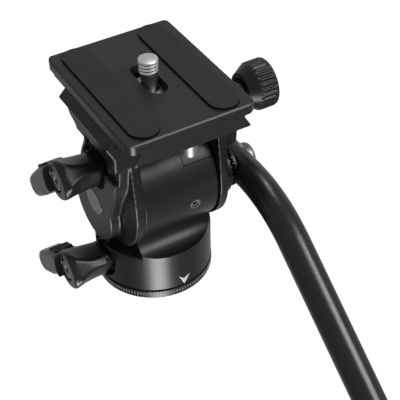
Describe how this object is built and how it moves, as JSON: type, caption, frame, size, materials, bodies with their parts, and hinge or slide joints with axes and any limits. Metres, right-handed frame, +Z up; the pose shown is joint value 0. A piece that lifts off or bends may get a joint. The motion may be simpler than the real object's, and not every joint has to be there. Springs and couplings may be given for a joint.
{
  "type": "fluid video head",
  "caption": "Compact tripod video head with fluid drag, a quick release plate on a dovetail clamp, clamping levers and a cranked pan handle.",
  "frame": {"origin": "Centre of the underside of the base ring, on the axis of the tripod thread and of the pan turn.", "axes": "+Z up along the pan axis toward the camera; +X along the tilt axis toward the clamping knob and the handle; +Y to the front of the camera, so the operator and the handle's grip are on -Y."},
  "size_m": [0.076, 0.2134, 0.161],
  "materials": {
    "black_alloy": "black anodised, fine bead blasted",
    "cast_alloy": "black powder coat, satin",
    "side_plate_grey": "dark grey, satin",
    "lever_paint": "dark grey paint, satin",
    "knob_plastic": "moulded, matt",
    "gloss_tube": "gloss black",
    "steel": "machined",
    "bearing_bronze": "turned bearing bronze",
    "pad_rubber": "matt",
    "grip_rubber": "soft, matt"
  },
  "bodies": {
    "base": {"base_plate": "black_alloy", "thread_insert": "steel", "pan_spindle": "steel", "base_screws": "steel", "pan_thrust_washer": "bearing_bronze", "spindle_nut": "steel"},
    "pan": {"pan_body": "cast_alloy", "pan_bush_lower": "bearing_bronze", "pan_bush_upper": "bearing_bronze", "damper_cup": "bearing_bronze", "housing_cover": "cast_alloy", "tilt_bush_left": "bearing_bronze", "tilt_bush_right": "bearing_bronze", "barrel_cover": "cast_alloy", "barrel_set_screw": "steel"},
    "pan_shoe": {"pan_brake_shoe": "bearing_bronze"},
    "pan_lock": {"pan_lock_stud": "steel", "pan_lever_spring": "steel", "pan_lever_screw": "steel"},
    "pan_lever_body": {"pan_lever": "lever_paint"},
    "tilt": {"yoke": "cast_alloy", "tilt_shaft": "steel", "side_plate": "side_plate_grey", "damper_rotor": "steel", "yoke_rosette": "black_alloy", "jaw_guide_pins": "steel"},
    "tilt_shoe": {"tilt_brake_shoe": "bearing_bronze"},
    "tilt_lock": {"tilt_lock_stud": "steel", "tilt_lever_spring": "steel", "tilt_lever_screw": "steel"},
    "tilt_lever_body": {"tilt_lever": "lever_paint"},
    "jaw": {"moving_jaw": "black_alloy"},
    "knob": {"jaw_knob": "knob_plastic", "clamp_screw": "steel"},
    "plate": {"quick_release_plate": "black_alloy", "pad_left": "pad_rubber", "pad_right": "pad_rubber", "plate_stop_pins": "steel"},
    "clip": {"screw_clip": "steel"},
    "screw": {"camera_screw": "steel"},
    "handle": {"handle_tube": "gloss_tube", "handle_rosette": "black_alloy", "handle_bolt": "steel", "bolt_washer": "steel", "handle_grip": "grip_rubber", "grip_cap": "knob_plastic"}
  },
  "joints": [
    {"name": "pan_turn", "type": "hinge", "parent": "base", "child": "pan", "pos_m": [0, 0, 0.01], "axis": [0, 0, 1], "continuous": true},
    {"name": "pan_lock_turn", "type": "hinge", "parent": "pan", "child": "pan_lock", "pos_m": [-0.02, 0, 0.0112], "axis": [1, 0, 0], "range_deg": [-5, 40]},
    {"name": "pan_shoe_slide", "type": "slide", "parent": "pan", "child": "pan_shoe", "axis": [1, 0, 0], "range_m": [-0.00002, 0.00015]},
    {"name": "pan_lever_lift", "type": "slide", "parent": "pan_lock", "child": "pan_lever_body", "axis": [-1, 0, 0], "range_m": [0, 0.0024], "stiffness_N_per_m": 300, "springref_m": -0.001, "deforming": ["pan_lever_spring"]},
    {"name": "tilt_turn", "type": "hinge", "parent": "pan", "child": "tilt", "pos_m": [0, 0, 0.0404], "axis": [1, 0, 0], "range_deg": [-80, 75]},
    {"name": "tilt_lock_turn", "type": "hinge", "parent": "tilt", "child": "tilt_lock", "pos_m": [-0.02, -0.003, 0.0526], "axis": [1, 0, 0], "range_deg": [-20, 50]},
    {"name": "tilt_shoe_slide", "type": "slide", "parent": "tilt", "child": "tilt_shoe", "axis": [1, 0, 0], "range_m": [-0.00006, 0.00018]},
    {"name": "tilt_lever_lift", "type": "slide", "parent": "tilt_lock", "child": "tilt_lever_body", "axis": [-1, 0, 0], "range_m": [0, 0.0024], "stiffness_N_per_m": 300, "springref_m": -0.001, "deforming": ["tilt_lever_spring"]},
    {"name": "knob_turn", "type": "hinge", "parent": "jaw", "child": "knob", "pos_m": [0.03, -0.0083, 0.0663], "axis": [1, 0, 0], "range_deg": [0, 692]},
    {"name": "jaw_slide", "type": "slide", "parent": "tilt", "child": "jaw", "axis": [1, 0, 0], "range_m": [0, 0.0024]},
    {"name": "plate_slide", "type": "slide", "parent": "tilt", "child": "plate", "axis": [0, 1, 0], "range_m": [-0.0055, 0.0055]},
    {"name": "screw_slide", "type": "slide", "parent": "plate", "child": "clip", "axis": [0, 1, 0], "range_m": [-0.0055, 0.0055]},
    {"name": "screw_turn", "type": "hinge", "parent": "clip", "child": "screw", "pos_m": [0.00025, -0.0029, 0.08], "axis": [0, 0, 1], "continuous": true},
    {"name": "handle_angle", "type": "hinge", "parent": "tilt", "child": "handle", "pos_m": [0.022, -0.0118, 0.0418], "axis": [1, 0, 0], "range_deg": [-30, 40]}
  ],
  "couplings": [
    {"joint": "pan_shoe_slide", "follows": "pan_lock_turn", "m_per_rad": 0.00015915},
    {"joint": "tilt_shoe_slide", "follows": "tilt_lock_turn", "m_per_rad": 0.00015915},
    {"joint": "knob_turn", "follows": "jaw_slide", "rad_per_m": 5026.5}
  ]
}
